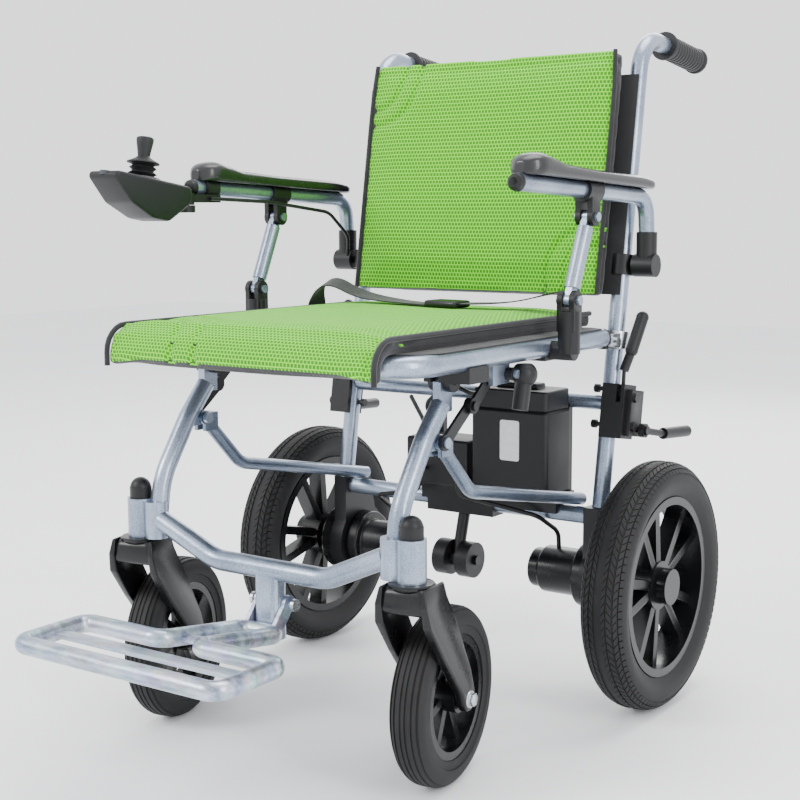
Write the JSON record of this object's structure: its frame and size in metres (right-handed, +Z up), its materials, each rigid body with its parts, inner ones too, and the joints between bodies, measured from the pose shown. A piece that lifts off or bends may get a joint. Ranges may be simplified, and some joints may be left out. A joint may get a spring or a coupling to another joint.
{
  "type": "folding power wheelchair",
  "caption": "Folding power wheelchair with lime mesh cushions, joystick control, flip-up footrest, swivel casters and geared drive wheels.",
  "frame": {"origin": "on the floor, under the centre of the bounding box", "axes": "+Z up, the front of the chair faces -Y, +X is the sitter's left"},
  "size_m": [0.596, 0.9387, 0.8619],
  "materials": {
    "satin_tube": "satin metallic powder coat over aluminium",
    "zinc_plate": "zinc plated steel",
    "black_nylon": "moulded black nylon",
    "black_steel": "black powder coat",
    "black_case": "fine textured black plastic",
    "tyre_rubber": "black tyre rubber",
    "soft_rubber": "black rubber",
    "pad_pu": "glossy black polyurethane skin",
    "button_grey": "grey key",
    "green_mesh": "lime green spacer mesh over foam",
    "black_webbing": "black nylon weave"
  },
  "bodies": {
    "seat_frame": {"seat_rails": "satin_tube", "rail_plugs": "black_nylon", "seat_sling": "black_webbing", "seat_pad": "green_mesh", "lap_belt": "black_webbing", "post_elbows": "black_nylon", "leg_saddles": "black_nylon"},
    "upper_braces": {"brace_upper": "black_steel"},
    "release_handle": {"release_handle": "black_nylon"},
    "front_frame": {"front_frame": "satin_tube", "stem_caps": "black_nylon", "footrest_bolts": "zinc_plate"},
    "link_bars": {"link_bars": "satin_tube"},
    "lower_braces": {"brace_lower": "black_steel"},
    "footrest": {"footrest": "zinc_plate"},
    "fork_left": {"caster_fork_left": "black_nylon"},
    "fork_right": {"caster_fork_right": "black_nylon"},
    "caster_wheel_left": {"caster_rim_left": "black_nylon", "caster_tyre_left": "tyre_rubber"},
    "caster_wheel_right": {"caster_rim_right": "black_nylon", "caster_tyre_right": "tyre_rubber"},
    "back_frame": {"back_tubes": "satin_tube", "back_clamps": "satin_tube", "fold_bolts": "zinc_plate", "push_grips": "soft_rubber", "back_sling": "black_webbing", "back_pad": "green_mesh", "arm_pivots": "black_nylon", "motor_brackets": "black_steel", "gear_motors": "black_steel", "brake_housings": "black_nylon", "battery_tray": "black_steel", "battery_case": "black_case", "battery_lid": "black_case", "drive_controller": "black_case", "wiring": "soft_rubber", "tipper_bracket": "black_steel"},
    "rear_wheel_left": {"rear_rim_left": "black_nylon", "rear_tyre_left": "tyre_rubber"},
    "rear_wheel_right": {"rear_rim_right": "black_nylon", "rear_tyre_right": "tyre_rubber"},
    "brake_paddle_left": {"brake_paddle_left": "black_nylon"},
    "brake_paddle_right": {"brake_paddle_right": "black_nylon"},
    "brake_handle_left": {"brake_handle_left": "black_nylon"},
    "brake_handle_right": {"brake_handle_right": "black_nylon"},
    "tipper_roller_left": {"tipper_roller_left": "soft_rubber"},
    "tipper_roller_right": {"tipper_roller_right": "soft_rubber"},
    "posts": {"armrest_posts": "satin_tube"},
    "armrests": {"arm_tubes": "satin_tube", "arm_brackets": "black_nylon", "arm_elbows": "black_nylon", "arm_pads": "pad_pu", "joystick_clamp": "black_nylon", "joystick_cable": "soft_rubber"},
    "controller": {"joystick_arm": "black_nylon", "joystick_case": "black_case", "joystick_gaiter": "soft_rubber"},
    "power_key": {"power_button": "button_grey"},
    "gimbal": {"joystick_gimbal": "zinc_plate"},
    "stick": {"joystick_stick": "soft_rubber"}
  },
  "joints": [
    {"name": "back_fold", "type": "hinge", "parent": "seat_frame", "child": "back_frame", "pos_m": [0, 0.2047, 0.465], "axis": [1, 0, 0], "range_deg": [0, 70], "deforming": ["seat_pad", "back_pad", "lap_belt", "wiring", "joystick_cable"]},
    {"name": "front_fold", "type": "hinge", "parent": "seat_frame", "child": "front_frame", "pos_m": [0, -0.1203, 0.446], "axis": [1, 0, 0], "range_deg": [0, 60]},
    {"name": "link_swing", "type": "hinge", "parent": "front_frame", "child": "link_bars", "pos_m": [0, -0.1393, 0.381], "axis": [1, 0, 0], "range_deg": [-40.93, 0]},
    {"name": "upper_brace_fold", "type": "hinge", "parent": "seat_frame", "child": "upper_braces", "pos_m": [0, -0.0533, 0.445], "axis": [1, 0, 0], "range_deg": [0, 103.47]},
    {"name": "lower_brace_fold", "type": "hinge", "parent": "front_frame", "child": "lower_braces", "pos_m": [0, -0.1393, 0.381], "axis": [1, 0, 0], "range_deg": [-77.33, 0]},
    {"name": "post_fold", "type": "hinge", "parent": "seat_frame", "child": "posts", "pos_m": [0, 0.04528, 0.527], "axis": [1, 0, 0], "range_deg": [0, 70.5]},
    {"name": "armrest_level", "type": "hinge", "parent": "back_frame", "child": "armrests", "pos_m": [0, 0.24712, 0.56], "axis": [1, 0, 0], "range_deg": [-70.5, 0]},
    {"name": "release_lever", "type": "hinge", "parent": "seat_frame", "child": "release_handle", "pos_m": [0.205, -0.0313, 0.447], "axis": [1, 0, 0], "range_deg": [-20, 0]},
    {"name": "footrest_flip", "type": "hinge", "parent": "front_frame", "child": "footrest", "pos_m": [0, -0.2083, 0.192], "axis": [-1, 0, 0], "range_deg": [0, 70]},
    {"name": "caster_swivel_left", "type": "hinge", "parent": "front_frame", "child": "fork_left", "pos_m": [0.196, -0.2193, 0.262], "axis": [0, 0, 1], "continuous": true},
    {"name": "caster_roll_left", "type": "hinge", "parent": "fork_left", "child": "caster_wheel_left", "pos_m": [0.18542, -0.14404, 0.1], "axis": [0.9903, 0.1392, 0], "continuous": true},
    {"name": "caster_swivel_right", "type": "hinge", "parent": "front_frame", "child": "fork_right", "pos_m": [-0.196, -0.2193, 0.262], "axis": [0, 0, 1], "continuous": true},
    {"name": "caster_roll_right", "type": "hinge", "parent": "fork_right", "child": "caster_wheel_right", "pos_m": [-0.2131, -0.14525, 0.1], "axis": [0.9744, 0.225, 0], "continuous": true},
    {"name": "drive_wheel_left", "type": "hinge", "parent": "back_frame", "child": "rear_wheel_left", "pos_m": [0.269, 0.2167, 0.158], "axis": [1, 0, 0], "continuous": true},
    {"name": "brake_lever_left", "type": "hinge", "parent": "back_frame", "child": "brake_paddle_left", "pos_m": [0.222, 0.21641, 0.398], "axis": [1, 0, 0], "range_deg": [0, 25]},
    {"name": "brake_release_left", "type": "hinge", "parent": "back_frame", "child": "brake_handle_left", "pos_m": [0.245, 0.22989, 0.352], "axis": [1, 0, 0], "range_deg": [0, 25]},
    {"name": "tipper_roll_left", "type": "hinge", "parent": "back_frame", "child": "tipper_roller_left", "pos_m": [0.018, 0.1777, 0.164], "axis": [1, 0, 0], "continuous": true},
    {"name": "drive_wheel_right", "type": "hinge", "parent": "back_frame", "child": "rear_wheel_right", "pos_m": [-0.269, 0.2167, 0.158], "axis": [1, 0, 0], "continuous": true},
    {"name": "brake_lever_right", "type": "hinge", "parent": "back_frame", "child": "brake_paddle_right", "pos_m": [-0.222, 0.21641, 0.398], "axis": [1, 0, 0], "range_deg": [0, 25]},
    {"name": "brake_release_right", "type": "hinge", "parent": "back_frame", "child": "brake_handle_right", "pos_m": [-0.245, 0.22989, 0.352], "axis": [1, 0, 0], "range_deg": [0, 25]},
    {"name": "tipper_roll_right", "type": "hinge", "parent": "back_frame", "child": "tipper_roller_right", "pos_m": [-0.018, 0.1777, 0.164], "axis": [1, 0, 0], "continuous": true},
    {"name": "joystick_swing", "type": "hinge", "parent": "armrests", "child": "controller", "pos_m": [-0.227, -0.0963, 0.636], "axis": [0, 0, -1], "range_deg": [0, 90]},
    {"name": "power_press", "type": "slide", "parent": "controller", "child": "power_key", "axis": [0, -0.1564, -0.9877], "range_m": [0, 0.002], "stiffness_N_per_m": 400},
    {"name": "stick_tilt_side", "type": "hinge", "parent": "controller", "child": "gimbal", "pos_m": [-0.215, -0.18618, 0.65615], "axis": [0, 0.9877, -0.1564], "range_deg": [-18, 18], "stiffness_Nm_per_rad": 0.25, "deforming": ["joystick_gaiter"]},
    {"name": "stick_tilt_fore", "type": "hinge", "parent": "gimbal", "child": "stick", "pos_m": [-0.215, -0.18618, 0.65615], "axis": [1, 0, 0], "range_deg": [-18, 18], "stiffness_Nm_per_rad": 0.25, "deforming": ["joystick_gaiter"]}
  ],
  "couplings": [
    {"joint": "front_fold", "follows": "back_fold", "ratio": 0.85},
    {"joint": "link_swing", "follows": "back_fold", "ratio": -0.5776},
    {"joint": "upper_brace_fold", "follows": "back_fold", "ratio": 1.471},
    {"joint": "lower_brace_fold", "follows": "back_fold", "ratio": -1.0976},
    {"joint": "post_fold", "follows": "back_fold", "ratio": 1},
    {"joint": "armrest_level", "follows": "back_fold", "ratio": -1}
  ]
}
